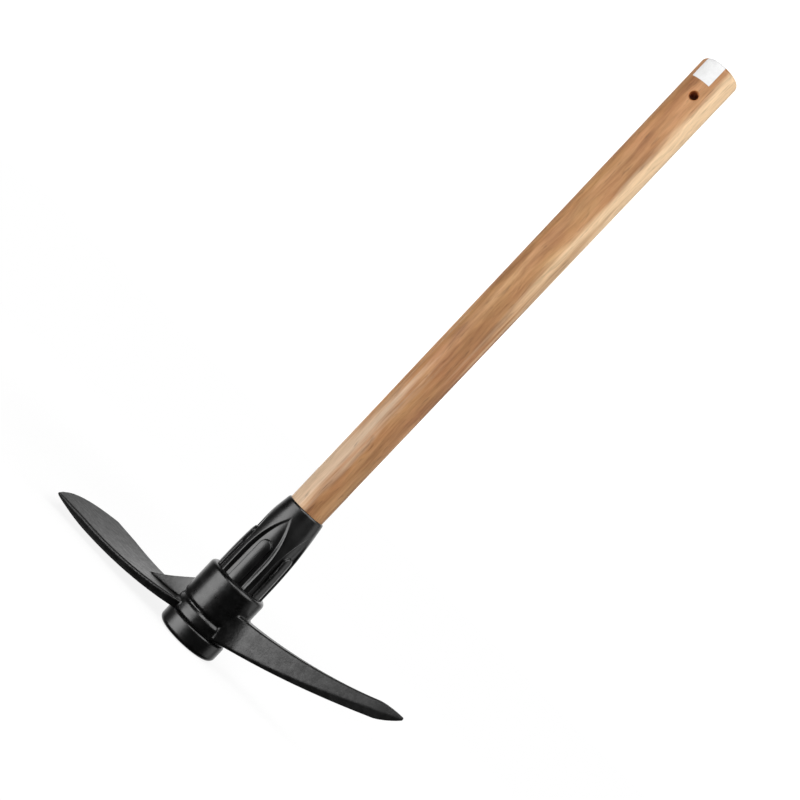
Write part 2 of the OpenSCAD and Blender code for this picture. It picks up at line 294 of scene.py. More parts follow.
def share(value, low, high):
    """How far a value lies from low to high, held between 0 and 1."""
    return np.clip((value - low)/(high - low), 0.0, 1.0)


head_low, head_high = box_mm("pick_head")
print("head in the frame, mm:", head_low, head_high)

# %% [markdown]
# ## The forged head: the pick
#
# Pick, eye, adze and gusset are one forging, and each is made as its own loft first. The pick is a
# tapered bar with a bevel on each corner, drawn out along an arc, and its end is forged to a four-sided
# point. One bevel modifier would give every corner the same cut. A section carried along the arc lets the
# lower bevels deepen towards the point, as they do on the real bar.

# %% Pick
EYE_LOW = 16.5
EYE_TOP = 66.0
EYE_R = 29.0
ARM_START = 12.5                   # both arms begin inside the eye
PICK_BEND_R = 700.0                # radius of the centre line
PICK_SET = np.radians(9.7)         # slope of the centre line at the handle's axis
PICK_SET_Z = EYE_LOW + 11.8        # and its height there
SHOULDER_X = 162.0                 # where the point begins
POINT_L = 23.0
POINT_POWER = 1.5                  # the point's sides swell a little
ROOT_H = 28.4
SHOULDER_H = 15.0
TAPER_POWER = 1.4                  # the height falls fastest near the eye
ROOT_W = 18.0
SHOULDER_W = 12.0
TIP_W = 2.0
FLARE_L = 14.0                     # over this length the root widens towards the eye
FLARE_W = 8.0                      # by this much at the eye's wall
FLARE_X = 24.0                     # and no further than here
TOP_BEVEL = 1.0
UNDER_BEVEL = (1.4, 4.4)           # across, from root to shoulder
UNDER_DEPTH = (1.8, 6.8)           # and up the side


def pick_rings(x, size):
    """Eight-sided sections square to a circular centre line; a bevel on each corner, deeper below."""
    angle = np.arcsin(np.sin(PICK_SET) + x/PICK_BEND_R)
    z = PICK_SET_Z + PICK_BEND_R*(np.cos(PICK_SET) - np.cos(angle))
    t = share(x, EYE_R, SHOULDER_X)
    flare = np.maximum(1 - (np.maximum(x, FLARE_X) - EYE_R)/FLARE_L, 0.0)**2
    h = (SHOULDER_H + (ROOT_H - SHOULDER_H)*(1 - t)**TAPER_POWER)*size/2
    w = (ROOT_W + (SHOULDER_W - ROOT_W)*t + FLARE_W*flare)*size/2
    top = TOP_BEVEL*size
    under = np.interp(t, (0, 1), UNDER_BEVEL)*size
    deep = np.interp(t, (0, 1), UNDER_DEPTH)*size
    across = np.stack([-w, top - w, w - top, w, w, w - under, under - w, -w], -1)
    along = np.stack([h - top, h, h, h - top, deep - h, -h, -h, deep - h], -1)
    return np.stack([x[:, None] - along*np.sin(angle)[:, None], across,
                     z[:, None] + along*np.cos(angle)[:, None]], -1)


bar_x = np.linspace(ARM_START, SHOULDER_X, 90)
tip_t = np.linspace(0.0, 1.0, 24)[1:]
bar = pick_rings(bar_x, np.ones_like(bar_x))
point = pick_rings(SHOULDER_X + POINT_L*tip_t, 1 - (1 - TIP_W/SHOULDER_W)*tip_t**POINT_POWER)
pick = skin("pick", np.concatenate([bar, point]))
print("pick faces:", len(pick.data.polygons))

# %% [markdown]
# ## The forged head: the adze and its gusset
#
# The adze is a blade that flares from the eye to a crowned edge, bent along an arc and thinned at the
# edge. A gusset stands between blade and eye and takes the strain. A flat plate with a bend modifier
# would keep one thickness, so the blade is a row of sections whose width, thickness and height are
# formulas of the reach.

# %% Adze
BLADE_REACH = -head_low[0]
BLADE_W = 2*head_high[1]
BLADE_ROOT_W = 44.0
SPREAD_POWER = 0.4                 # the blade spreads fastest at the eye
BLADE_BEND_R = 462.0
BLADE_LOW_X = 111.0                # the lowest point of the bend
BLADE_LOW_Z = EYE_LOW - 7.2
BLADE_T = 8.0
ROOT_EXTRA_T = 0.4
EDGE_T = 1.0
THINNING_L = 40.0
CROWN = 12.0                       # how far the edge's corners fall back
CROWN_POWER = 4                    # the crown comes in late along the blade
CORNER_R = 2.0
CORNER_SHARE = 0.7                 # the most of half the thickness that a corner takes
SIDE_LEAN = 0.7                    # how far a side leans in below, in half thicknesses
ROW_POWER = 1.4                    # sections lie closer together near the edge


def blade_height(x):
    """Middle surface of the blade: a circle's arc about its lowest point."""
    return BLADE_LOW_Z + BLADE_BEND_R - np.sqrt(BLADE_BEND_R**2 - (x - BLADE_LOW_X)**2)


def blade_thickness(x):
    """Thickest at the eye, even along the blade, then thinned by a square root to the cutting edge."""
    root = (1 - share(x, EYE_R, BLADE_LOW_X))**2
    return EDGE_T + (BLADE_T + ROOT_EXTRA_T*root - EDGE_T)*np.sqrt(share(BLADE_REACH - x, 0.0, THINNING_L))


def blade_rings(x):
    """Sections across the blade: round corners, sides that lean in below, bowed out to a crowned edge."""
    t = share(x, ARM_START, BLADE_REACH)[:, None]
    half_w = (BLADE_ROOT_W + (BLADE_W - BLADE_ROOT_W)*t**SPREAD_POWER)/2
    half_t = blade_thickness(x)[:, None]/2
    corner = np.minimum(CORNER_SHARE*half_t, CORNER_R)
    turn = np.radians(np.linspace(0.0, 90.0, 7))
    flat = np.linspace(-1.0, 1.0, 30)[1:-1]
    out = np.concatenate([-1 + 0*turn, flat, 1 + 0*turn])
    lean = np.concatenate([-np.cos(turn), 0*flat, np.cos(turn)[::-1]])
    rise = np.concatenate([np.sin(turn), 1 + 0*flat, np.sin(turn)[::-1]])
    raised = half_t - corner + rise*corner

    def row(side, width):
        """One face of the blade, its corners included, at a half width."""
        across = out*(width - corner) + lean*corner
        fall = t**CROWN_POWER*CROWN*(across/width)**2
        return np.stack([fall - x[:, None], across, blade_height(x[:, None] - fall) + side*raised], -1)

    return np.concatenate([row(1, half_w), row(-1, half_w - SIDE_LEAN*half_t)[:, ::-1]], 1)


blade_x = BLADE_REACH - (BLADE_REACH - ARM_START)*np.linspace(0.0, 1.0, 120)**ROW_POWER
adze = skin("adze", blade_rings(blade_x))
print("adze faces:", len(adze.data.polygons))

# %% Gusset
GUSSET_REACH = 84.0
GUSSET_TOP = EYE_LOW + 26.5
GUSSET_POWER = 1.7                 # its crest falls fastest near the eye
CREST_HALF_W = 2.5
FOOT_SPREAD = 4.0                  # each side reaches this much further out at the foot


def gusset_rings(x):
    """Sections of the gusset: foot in the blade, sides drawn in to a narrow crest that falls in a curve."""
    rise = (1 - share(x, EYE_R, GUSSET_REACH))**GUSSET_POWER
    low = blade_height(x)
    high = np.maximum(low + blade_thickness(x)/2, low + (GUSSET_TOP - low)*rise)
    k = np.linspace(0.0, 1.0, 9)
    half_w = CREST_HALF_W + FOOT_SPREAD*(1 - k)**2
    z = low[:, None] + (high - low)[:, None]*k
    side = np.stack(np.broadcast_arrays(-x[:, None], half_w, z), -1)
    other = (side*np.array([1.0, -1.0, 1.0]))[:, ::-1]
    return np.concatenate([side, other], 1)


gusset = skin("gusset", gusset_rings(np.linspace(GUSSET_REACH, ARM_START, 40)))
print("gusset faces:", len(gusset.data.polygons))

# %% [markdown]
# ## The forged head: the eye
#
# The eye is the round barrel that the bush passes through, with a groove that sets off a ring at its
# lower end. It is turned like a pot: a profile of radius and height, carried round the handle's axis.

# %% Eye
GROOVE_Z = EYE_LOW + 13.2
GROOVE_DEPTH = 1.7
GROOVE_W = 1.9
RING_ROUND = 2.6
BRIM_ROUND = 3.6
CORE_HOLE_R = 12.0                 # well inside the bore, which is cut later
EYE_STEPS = 192


def arc(centre, radius, start, end, steps):
    """Points on a circle's arc in the plane, from one angle to another in degrees."""
    a = np.radians(np.linspace(start, end, steps))
    return np.stack([centre[0] + radius*np.cos(a), centre[1] + radius*np.sin(a)], -1)


def circle(steps):
    """Angles all the way round, the last one a step short of the first."""
    return np.linspace(0.0, 2*np.pi, steps, endpoint=False)


def turned(profile, a):
    """Rings of a profile of radius and height, turned about the Z axis: x = r cos a, y = r sin a."""
    r = profile[:, :1]
    return np.stack(np.broadcast_arrays(r*np.cos(a), r*np.sin(a), profile[:, 1:]), -1)


wall_z = np.linspace(EYE_LOW + RING_ROUND, EYE_TOP - BRIM_ROUND, 120)
wall_r = EYE_R - GROOVE_DEPTH*np.exp(-((wall_z - GROOVE_Z)/GROOVE_W)**2)
eye_profile = np.concatenate([
    [[CORE_HOLE_R, EYE_LOW]],
    arc((EYE_R - RING_ROUND, EYE_LOW + RING_ROUND), RING_ROUND, -90, 0, 10)[:-1],
    np.stack([wall_r, wall_z], -1),
    arc((EYE_R - BRIM_ROUND, EYE_TOP - BRIM_ROUND), BRIM_ROUND, 0, 90, 10)[1:],
    [[CORE_HOLE_R, EYE_TOP]]])
eye = skin("eye", turned(eye_profile, circle(EYE_STEPS)), loop=True)
print("eye faces:", len(eye.data.polygons))

# %% [markdown]
# ## The forged head: one skin
#
# Where the lofts meet, a forging has soft inner corners. A boolean union would leave sharp seams there.
# Instead a voxel remesh fuses the lofts into one closed skin, a shrinkwrap lays that skin back on the
# lofts, which takes out the steps of the voxels, and a little smoothing gives the corners their radius. A
# cutter then takes out the bore, and clears what hangs under the eye so that the flange can seat against
# it.

# %% Fused head
VOXEL = 0.78
EASE_FACTOR = 0.5
EASE_ROUNDS = 5
BORE_R = 25.0
SEAT_R = 29.6                      # a little wider than the flange
SEAT_Z = EYE_LOW - 0.1             # and a little short of the eye's lower face
BORE_SPAN = (-4.0, EYE_TOP + 6.0)  # the cutter reaches past the eye at both ends


def baked(piece):
    """Puts the result of a piece's modifiers into its mesh and takes the modifiers off."""
    result = bpy.data.meshes.new_from_object(piece.evaluated_get(bpy.context.evaluated_depsgraph_get()))
    piece.modifiers.clear()
    piece.data = result


def joined(name, pieces):
    """One mesh object from the vertices and faces of several, which are then deleted."""
    work = bmesh.new()
    for piece in pieces:
        work.from_mesh(piece.data)
        bpy.data.objects.remove(piece)
    mesh = bpy.data.meshes.new(name)
    work.to_mesh(mesh)
    work.free()
    whole = bpy.data.objects.new(name, mesh)
    bpy.context.scene.collection.objects.link(whole)
    return whole


def cut(piece, cutter):
    """Takes the cutter's volume out of a piece, and deletes the cutter."""
    step = piece.modifiers.new("cut", "BOOLEAN")
    step.operation = "DIFFERENCE"
    step.solver = "EXACT"
    step.object = cutter
    baked(piece)
    bpy.data.objects.remove(cutter)


def shaded(piece, degrees):
    """Smooth shading, with edges kept sharp where faces meet at more than an angle."""
    piece.data.shade_smooth()
    piece.data.set_sharp_from_angle(angle=np.radians(degrees))


lofts = joined("lofts", [pick, adze, gusset, eye])
head = bpy.data.objects.new("forged_head", lofts.data.copy())
bpy.context.scene.collection.objects.link(head)
fuse = head.modifiers.new("fuse", "REMESH")
fuse.mode = "VOXEL"
fuse.voxel_size = VOXEL*MM
settle = head.modifiers.new("settle", "SHRINKWRAP")
settle.target = lofts
settle.wrap_method = "NEAREST_SURFACEPOINT"
ease = head.modifiers.new("ease", "SMOOTH")
ease.factor = EASE_FACTOR
ease.iterations = EASE_ROUNDS
baked(head)
bpy.data.objects.remove(lofts)
bore_profile = np.array([[SEAT_R, BORE_SPAN[0]], [SEAT_R, SEAT_Z], [BORE_R, SEAT_Z], [BORE_R, BORE_SPAN[1]]])
cut(head, skin("bore", turned(bore_profile, circle(EYE_STEPS))))
shaded(head, degrees=38.0)
print("head triangles:", sum(len(p.vertices) - 2 for p in head.data.polygons))

# %% [markdown]
# ## The fluted bush
#
# The bush is one black moulding: a flange under the head, a core in the eye's bore and a nose that
# narrows along the handle. Five pointed flutes are sunk into the nose, and a finger-shaped rib stands in
# each. They could be cut and added by booleans, but a mould has soft walls. So flutes and ribs are one
# radius over angle and height, and the whole surface is a single grid, closed through the bore.

# %% Flutes and ribs
NOSE_TOP = box_mm("fluted_bush")[1][2]
NOSE_R = 24.6
NOSE_TIP_R = 18.8

# Heights on the nose are measured from the eye's top
NOSE_STRAIGHT = 11.0
FLUTES = 5
FLUTE_TURN = np.radians(-77.0)     # the middle of the flute that shows best in the photograph
FLUTE_HALF_W = 11.9
FLUTE_STRAIGHT = 25.0              # its sides begin to close here
FLUTE_POINT = 69.5                 # and meet here
FLUTE_WALL = 3.0                   # width over which its side wall falls
FLUTE_WALL_IN = 0.6                # how far inside its outline the wall's middle lies
FLUTE_FADE_FROM = 42.0             # from here to the point the flute loses most of its depth
FLUTE_FADE = 0.85
FADE_POWER = 1.6                   # slowly at first
BED_SPAN = (-4.0, 71.5)            # the flute's bed is straight between these heights
BED_DEPTH = (2.6, 0.6)             # and this far under the nose's surface at them
RIB_HALF_W = 6.5
RIB_ROUND_AT = 37.5                # centre of the rib's round end
RIB_UNDER = 0.4                    # the rib's crest lies this far under the nose's surface
RIB_WALL = 0.8
RIB_WALL_IN = 0.3
RIB_FLAT = 0.55                    # share of the rib's height that isn't crowned


def nose_radius(z):
    """Straight above the eye, then drawn in to the tip along a parabola."""
    return NOSE_R - (NOSE_R - NOSE_TIP_R)*share(z, EYE_TOP + NOSE_STRAIGHT, NOSE_TOP)**2


def soft_step(distance, width):
    """Smooth step from 0 to 1 across a wall of the given width, centred on its edge."""
    t = np.clip(distance/width + 0.5, 0.0, 1.0)
    return t*t*(3 - 2*t)


def fluted_radius(z, a):
    """Nose radius, less a flute inside two arcs that meet in a point, plus a round-topped rib within it."""
    h = z - EYE_TOP
    r = nose_radius(z)
    pitch = 2*np.pi/FLUTES
    lateral = r*np.sin((a - FLUTE_TURN + pitch/2) % pitch - pitch/2)
    arch_l = FLUTE_POINT - FLUTE_STRAIGHT
    arch_r = (FLUTE_HALF_W + arch_l**2/FLUTE_HALF_W)/2
    closing = np.sqrt(np.maximum(arch_r**2 - (h - FLUTE_STRAIGHT)**2, 0.0)) - arch_r
    half = FLUTE_HALF_W + np.where(h < FLUTE_STRAIGHT, 0.0, closing)
    bed_ends = (NOSE_R - BED_DEPTH[0], nose_radius(EYE_TOP + BED_SPAN[1]) - BED_DEPTH[1])
    bed_r = np.interp(h, BED_SPAN, bed_ends)
    fade = 1 - FLUTE_FADE*share(h, FLUTE_FADE_FROM, FLUTE_POINT)**FADE_POWER
    inside = soft_step(half - np.abs(lateral) - FLUTE_WALL_IN, FLUTE_WALL)
    sunk = np.maximum(r - bed_r, 0.0)*fade*inside
    finger = RIB_HALF_W - np.hypot(lateral, np.maximum(h - RIB_ROUND_AT, 0.0))
    crown = np.sqrt(1 - (1 - np.clip(finger/RIB_HALF_W, 0.0, 1.0))**2)
    rib = np.maximum(r - RIB_UNDER - bed_r, 0.0)*soft_step(finger - RIB_WALL_IN, RIB_WALL)
    return r - sunk + rib*(RIB_FLAT + (1 - RIB_FLAT)*crown)


print("nose: %.1f to %.1f mm up the handle" % (EYE_TOP, NOSE_TOP))

# %% Bush
SLEEVE_R = 17.4
SLEEVE_MID_Z = 75.0                # a ring halfway along the sleeve's bore
CORE_R = BORE_R - 0.1
FLANGE_FLAT_R = 21.0               # a ring on the flange's flat end
FLANGE_LOW_ROUND = 4.6
FLANGE_TOP_ROUND = 2.2
NOSE_START = 0.3                   # the fluted grid starts this far above the eye
NOSE_END_ROUND = 1.2
BUSH_STEPS = 480

angles = circle(BUSH_STEPS)
flange = np.concatenate([
    [[SLEEVE_R, 0.0], [FLANGE_FLAT_R, 0.0]],
    arc((EYE_R - FLANGE_LOW_ROUND, FLANGE_LOW_ROUND), FLANGE_LOW_ROUND, -90, 0, 14),
    arc((EYE_R - FLANGE_TOP_ROUND, EYE_LOW - FLANGE_TOP_ROUND), FLANGE_TOP_ROUND, 0, 90, 9),
    [[CORE_R, EYE_LOW], [CORE_R, EYE_TOP], [NOSE_R, EYE_TOP]]])
nose_z = np.linspace(EYE_TOP + NOSE_START, NOSE_TOP - NOSE_END_ROUND, 150)[:, None]
nose_r = fluted_radius(nose_z, angles)
nose = np.stack(np.broadcast_arrays(nose_r*np.cos(angles), nose_r*np.sin(angles), nose_z), -1)
end = np.concatenate([
    arc((NOSE_TIP_R - NOSE_END_ROUND, NOSE_TOP - NOSE_END_ROUND), NOSE_END_ROUND, 0, 90, 8)[1:],
    [[SLEEVE_R, NOSE_TOP], [SLEEVE_R, SLEEVE_MID_Z]]])
bush = skin("moulded_bush", np.concatenate([turned(flange, angles), nose, turned(end, angles)]), loop=True)
shaded(bush, degrees=45.0)
print("bush triangles:", 2*len(bush.data.polygons))

# %% [markdown]
# ## The handle
#
# A turned round of light hardwood, a little thicker at the grip, with a low dome on its end and a drilled
# hang hole. On a lathe it would be a profile turned about its axis, and so it is here. Its lower end is
# sawn and spread by wedges inside the bush, so the same kerf and wedge slots are cut here as in the
# solids.

# %% Handle
handle_low, handle_high = box_mm("handle")
kerf_high = box_mm("hardwood_wedge")[1]
TOOL_L = handle_high[2]
FOOT_Z = handle_low[2]
FOOT_BEVEL = 0.2
HANDLE_R = kerf_high[0]            # the wooden wedge is as wide as the handle
GRIP_R = handle_high[0]
DOME_H = 1.8
DOME_CLOSE = 0.97                  # the dome's last ring, as a share of the way to its middle
RIM_ROUND = 5.0
RIM_R = GRIP_R - RIM_ROUND         # centre of the rim's arc
RIM_Z = TOOL_L - DOME_H - RIM_ROUND


def shaft_radius(z):
    """A slight cone from the bush to the rim of the grip."""
    return HANDLE_R + (GRIP_R - HANDLE_R)*(z - NOSE_TOP)/(RIM_Z - NOSE_TOP)


shaft_z = np.linspace(NOSE_TOP, RIM_Z, 60)
dome_t = np.linspace(0.0, DOME_CLOSE, 14)[1:]
handle_profile = np.concatenate([
    [[HANDLE_R - FOOT_BEVEL, FOOT_Z], [HANDLE_R, FOOT_Z + FOOT_BEVEL]],
    np.stack([shaft_radius(shaft_z), shaft_z], -1),
    arc((RIM_R, RIM_Z), RIM_ROUND, 0, 90, 12)[1:],
    np.stack([RIM_R*(1 - dome_t), TOOL_L - DOME_H*(1 - dome_t)**2], -1)])
handle = skin("turned_handle", turned(handle_profile, circle(160)))
print("handle length: %.1f mm" % (TOOL_L - FOOT_Z))

# %% Hang hole, kerf and wedge slots
HANG_Z = TOOL_L - 37.0
HANG_R = 4.0
HANG_TURN = np.radians(15.0)
HANG_REACH = np.array([18.0, 19.0, 24.0])    # along the hole, from the middle of the handle outwards
HANG_WIDER = np.array([0.0, 1.0, 1.4])       # what the countersink adds to its radius there
KERF_T = 2*kerf_high[1]
KERF_END_T = 1.0
KERF_L = kerf_high[2] - FOOT_Z
KERF_HALF_W = 20.0                 # past the handle on both sides
SLOT_T = 2.6
SLOT_END_T = 0.6
SLOT_L = 24.0
SLOT_HALF_W = 10.0
SLOT_AT = 8.5
BELOW_FOOT = -1.0                  # height at which the cutters begin


def hang_hole():
    """A round hole across the grip, countersunk at both ends: radius against distance along it."""
    along = np.concatenate([-HANG_REACH[::-1], HANG_REACH])[:, None]
    r = HANG_R + np.concatenate([HANG_WIDER[::-1], HANG_WIDER])[:, None]
    a = circle(64)
    across = r*np.cos(a)
    return np.stack([across*np.cos(HANG_TURN) - along*np.sin(HANG_TURN),
                     across*np.sin(HANG_TURN) + along*np.cos(HANG_TURN), HANG_Z + r*np.sin(a)], -1)


def wedge_slot(thick, thin, length, half_w):
    """A slim wedge from below the sawn end: half thickness against height, as four-cornered rings."""
    z = np.array([BELOW_FOOT, FOOT_Z, FOOT_Z + length])[:, None]
    half = np.array([thick, thick, thin])/2
    thickness = np.stack([-half, half, half, -half], -1)
    width = np.array([-half_w, -half_w, half_w, half_w])
    return np.stack(np.broadcast_arrays(width, thickness, z), -1)


cut(handle, skin("hole", hang_hole()))
cut(handle, skin("kerf", wedge_slot(KERF_T, KERF_END_T, KERF_L, KERF_HALF_W)))
crosswise = wedge_slot(SLOT_T, SLOT_END_T, SLOT_L, SLOT_HALF_W)[..., [1, 0, 2]]
for side in (-SLOT_AT, SLOT_AT):
    cut(handle, skin("slot", crosswise + np.array([side, 0.0, 0.0])))
shaded(handle, degrees=35.0)
print("handle faces:", len(handle.data.polygons))

# %% [markdown]
# ## The blank sticker
#
# A plain white paper label sits on the end of the grip, just above the hang hole, and folds over the rim.
# It could be a patch of white in the wood's material, but a real label has an edge that catches light. So
# it is a thin curved plate that follows the handle's own profile a hair above the wood.

# %% Sticker
LABEL_LOW = 626.5
LABEL_FOLD = 66.0                  # degrees round the rim's arc
LABEL_TURNS = (-1.0, 58.0)         # degrees to the left of the side that faces the camera
LABEL_FACE = 0.22                  # height of its two faces above the wood
LABEL_BACK = 0.05

facing = np.arctan2(-ahead[1], -ahead[0])
label_a = facing - np.radians(np.linspace(*LABEL_TURNS, 40))


def label_sheet(stand):
    """Points a little outside the handle: up its cone, then round the arc of its rim."""
    z = np.linspace(LABEL_LOW, RIM_Z, 12)
    cone = np.stack([shaft_radius(z) + stand, z], -1)
    fold = arc((RIM_R, RIM_Z), RIM_ROUND + stand, 0, LABEL_FOLD, 12)[1:]
    return turned(np.concatenate([cone, fold]), label_a)


label = skin("blank_label", np.concatenate([label_sheet(LABEL_FACE), label_sheet(LABEL_BACK)[:, ::-1]], 1))
shaded(label, degrees=40.0)
print("label faces:", len(label.data.polygons))

# %% [markdown]
# ## Shared finish: uneven surface
#
# Paint, plastic, paper and rolled steel all have a faint unevenness. An image could carry it, but would
# have to be unwrapped onto each piece. One node group makes it instead from two noises, a fine one and a
# broad one, mixed, as a mask for colour and roughness and as a height for bump. Each material sets its
# own scales.

# %% Uneven group
UNEVEN_SPAN = (0.3, 0.7)           # noise keeps near its middle, and this part of it fills the mask
FINE_DETAIL = 3.0
BROAD_DETAIL = 4.0

uneven = bpy.data.node_groups.new("uneven_surface", "ShaderNodeTree")
uneven.interface.new_socket("Vector", in_out="INPUT", socket_type="NodeSocketVector")
for socket in ("Fine", "Broad", "Balance"):
    uneven.interface.new_socket(socket, in_out="INPUT", socket_type="NodeSocketFloat")
for socket in ("Mask", "Height"):
    uneven.interface.new_socket(socket, in_out="OUTPUT", socket_type="NodeSocketFloat")


def mixed(tree, amount, first, second):
    """Number between two numbers, by an amount."""
    return add(tree, "ShaderNodeMix", {"data_type": "FLOAT"}, Factor=amount, A=first, B=second).outputs[0]


given = uneven.nodes.new("NodeGroupInput").outputs
result = uneven.nodes.new("NodeGroupOutput").inputs
fine = add(uneven, "ShaderNodeTexNoise", Vector=given["Vector"], Scale=given["Fine"], Detail=FINE_DETAIL)
broad = add(uneven, "ShaderNodeTexNoise", Vector=given["Vector"], Scale=given["Broad"], Detail=BROAD_DETAIL)
height = mixed(uneven, given["Balance"], fine.outputs[0], broad.outputs[0])
uneven.links.new(ranged(uneven, height, UNEVEN_SPAN), result["Mask"])
uneven.links.new(height, result["Height"])
print("group sockets:", [item.name for item in uneven.interface.items_tree])

# %% Helpers for finishes
def uneven_surface(tree, fine, broad, balance):
    """Outputs of the shared group, placed in a material on Object coordinates."""
    place = add(tree, "ShaderNodeTexCoord").outputs["Object"]
    return add(tree, "ShaderNodeGroup", {"node_tree": uneven}, place, fine, broad, balance).outputs


def ramp(tree, value, *stops):
    """Colour ramp over a value; each stop is a place and a grey level or a colour."""
    node = add(tree, "ShaderNodeValToRGB", None, value)
    marks = node.color_ramp.elements
    while len(marks) < len(stops):
        marks.new(0.5)
    for mark, (place, colour) in zip(marks, stops):
        mark.position = place
        mark.color = (*(colour if np.ndim(colour) else (colour,)*3), 1.0)
    return node.outputs["Color"]


def bumped(tree, height, strength, distance):
    """Normal of a surface whose height varies, by up to a distance in metres."""
    return add(tree, "ShaderNodeBump", Strength=strength, Distance=distance, Height=height).outputs[0]


def principled(tree, output, **sockets):
    """The material's own Principled shader, linked to its output."""
    body = add(tree, "ShaderNodeBsdfPrincipled", **sockets)
    tree.links.new(body.outputs["BSDF"], output.inputs["Surface"])


def dress(piece, material):
    """Makes a material the only one on a piece."""
    piece.data.materials.clear()
    piece.data.materials.append(material)


print("finish helpers ready")

# %% [markdown]
# ## Black paint on forged steel
#
# The head is dipped in semi-gloss black paint. The forging's scale shows through as fine dimples and soft
# blotches of gloss. The paint is smoothest on the eye and grows duller towards the ends of both arms,
# which do the work. A few ranges over the distance from the handle's axis give that, with no painting by
# hand.

# %% Head paint
PAINT_BLACKS = ((0.0, 0.0008), (0.6, 0.0016), (1.0, 0.005))
PAINT_SPECULAR = 0.62
PAINT_BUMP = (0.65, 0.0007)        # strength, and metres
FORGE_SCALE = (480.0, 150.0, 0.65)    # fine and broad noise, and the balance between them
ARMS_SPAN = (0.028, 0.040)         # metres from the axis: eye, arms
WEAR_SPAN = (0.045, 0.165)         # metres from the axis: an arm's root, its end
EYE_ROUGH = (0.24, 0.34)
ARM_ROUGH = (0.32, 0.53)
ARM_BLOTCHES = 0.18
EYE_BUMP = 0.25                    # dimples on the eye, as a share of those on the arms

paint, tree, output = blank_material("head_paint")
scale = uneven_surface(tree, *FORGE_SCALE)
place = add(tree, "ShaderNodeTexCoord").outputs["Object"]
radius = vector_maths(tree, "LENGTH", vector_maths(tree, "MULTIPLY", place, (1.0, 1.0, 0.0)))
arms = ranged(tree, radius, ARMS_SPAN)
eye_rough = ranged(tree, scale["Mask"], result=EYE_ROUGH)
worn = ranged(tree, radius, WEAR_SPAN, ARM_ROUGH)
arm_rough = maths(tree, "MULTIPLY_ADD", scale["Mask"], ARM_BLOTCHES, worn)
dimples = maths(tree, "MULTIPLY", scale["Height"], ranged(tree, arms, result=(EYE_BUMP, 1.0)))
principled(tree, output, Base_Color=ramp(tree, scale["Mask"], *PAINT_BLACKS),
           Roughness=mixed(tree, arms, eye_rough, arm_rough), Specular_IOR_Level=PAINT_SPECULAR,
           Normal=bumped(tree, dimples, *PAINT_BUMP))
dress(head, paint)
print("paint nodes:", len(tree.nodes))

# %% [markdown]
# ## Glossy black plastic
#
# The bush is smoother and glossier than the paint, with the faint ripple of a moulding. The same group
# does it with a finer noise and much less bump.

# %% Bush plastic
PLASTIC_BLACKS = ((0.0, 0.0008), (1.0, 0.002))
PLASTIC_ROUGH = (0.26, 0.38)
PLASTIC_SPECULAR = 0.7
PLASTIC_BUMP = (0.08, 0.0004)
MOULD_RIPPLE = (1500.0, 90.0, 0.7)

plastic, tree, output = blank_material("bush_plastic")
ripple = uneven_surface(tree, *MOULD_RIPPLE)
principled(tree, output, Base_Color=ramp(tree, ripple["Mask"], *PLASTIC_BLACKS),
           Roughness=ranged(tree, ripple["Mask"], result=PLASTIC_ROUGH), Specular_IOR_Level=PLASTIC_SPECULAR,
           Normal=bumped(tree, ripple["Height"], *PLASTIC_BUMP))
dress(bush, plastic)
print("plastic nodes:", len(tree.nodes))

# %% [markdown]
# ## Light hardwood
#
# The grain runs along the handle in broken streaks that are never quite straight. A wave texture would
# give even stripes, so the grain is noise instead. One group bends the coordinates a little, squeezes
# them along the handle, and gives four masks: broad bands, fine fibres, short dark pores, and soft
# patches of warmer and cooler brown. The handle and the wooden wedge share it.

# %% Wood group
DRIFT_SCALE = 14.0
DRIFT_DETAIL = 2.0
DRIFT = (0.012, 0.012, 0.0)        # metres over which a streak wanders sideways
GRAIN_ROUGHNESS = 0.6
GRAIN = {                          # squeeze, scale, detail, and the part of the noise that fills the mask
    "Band": (0.10, 110.0, 5.0, (0.32, 0.68)),
    "Fibre": (0.06, 620.0, 3.0, (0.30, 0.70)),
    "Pore": (0.12, 420.0, 2.0, (0.60, 0.74)),
    "Patch": (0.35, 38.0, 3.0, (0.35, 0.65))}


def long_noise(tree, vector, squeeze, scale, detail, roughness=0.5):
    """Noise squeezed along Z: streaks about 1/scale wide, and longer by 1/squeeze."""
    squeezed = vector_maths(tree, "MULTIPLY", vector, (1.0, 1.0, squeeze))
    node = add(tree, "ShaderNodeTexNoise", Vector=squeezed, Scale=scale, Detail=detail, Roughness=roughness)
    return node.outputs[0]


wood_group = bpy.data.node_groups.new("long_grain", "ShaderNodeTree")
wood_group.interface.new_socket("Vector", in_out="INPUT", socket_type="NodeSocketVector")
for socket in GRAIN:
    wood_group.interface.new_socket(socket, in_out="OUTPUT", socket_type="NodeSocketFloat")
given = wood_group.nodes.new("NodeGroupInput").outputs["Vector"]
result = wood_group.nodes.new("NodeGroupOutput").inputs
drift = add(wood_group, "ShaderNodeTexNoise", Vector=given, Scale=DRIFT_SCALE, Detail=DRIFT_DETAIL)
centred = vector_maths(wood_group, "SUBTRACT", drift.outputs["Color"], (0.5, 0.5, 0.5))
bent = vector_maths(wood_group, "MULTIPLY_ADD", centred, DRIFT, given)
for socket, (squeeze, scale, detail, levels) in GRAIN.items():
    streaks = long_noise(wood_group, bent, squeeze, scale, detail, GRAIN_ROUGHNESS)
    wood_group.links.new(ranged(wood_group, streaks, levels), result[socket])
print("wood group nodes:", len(wood_group.nodes))
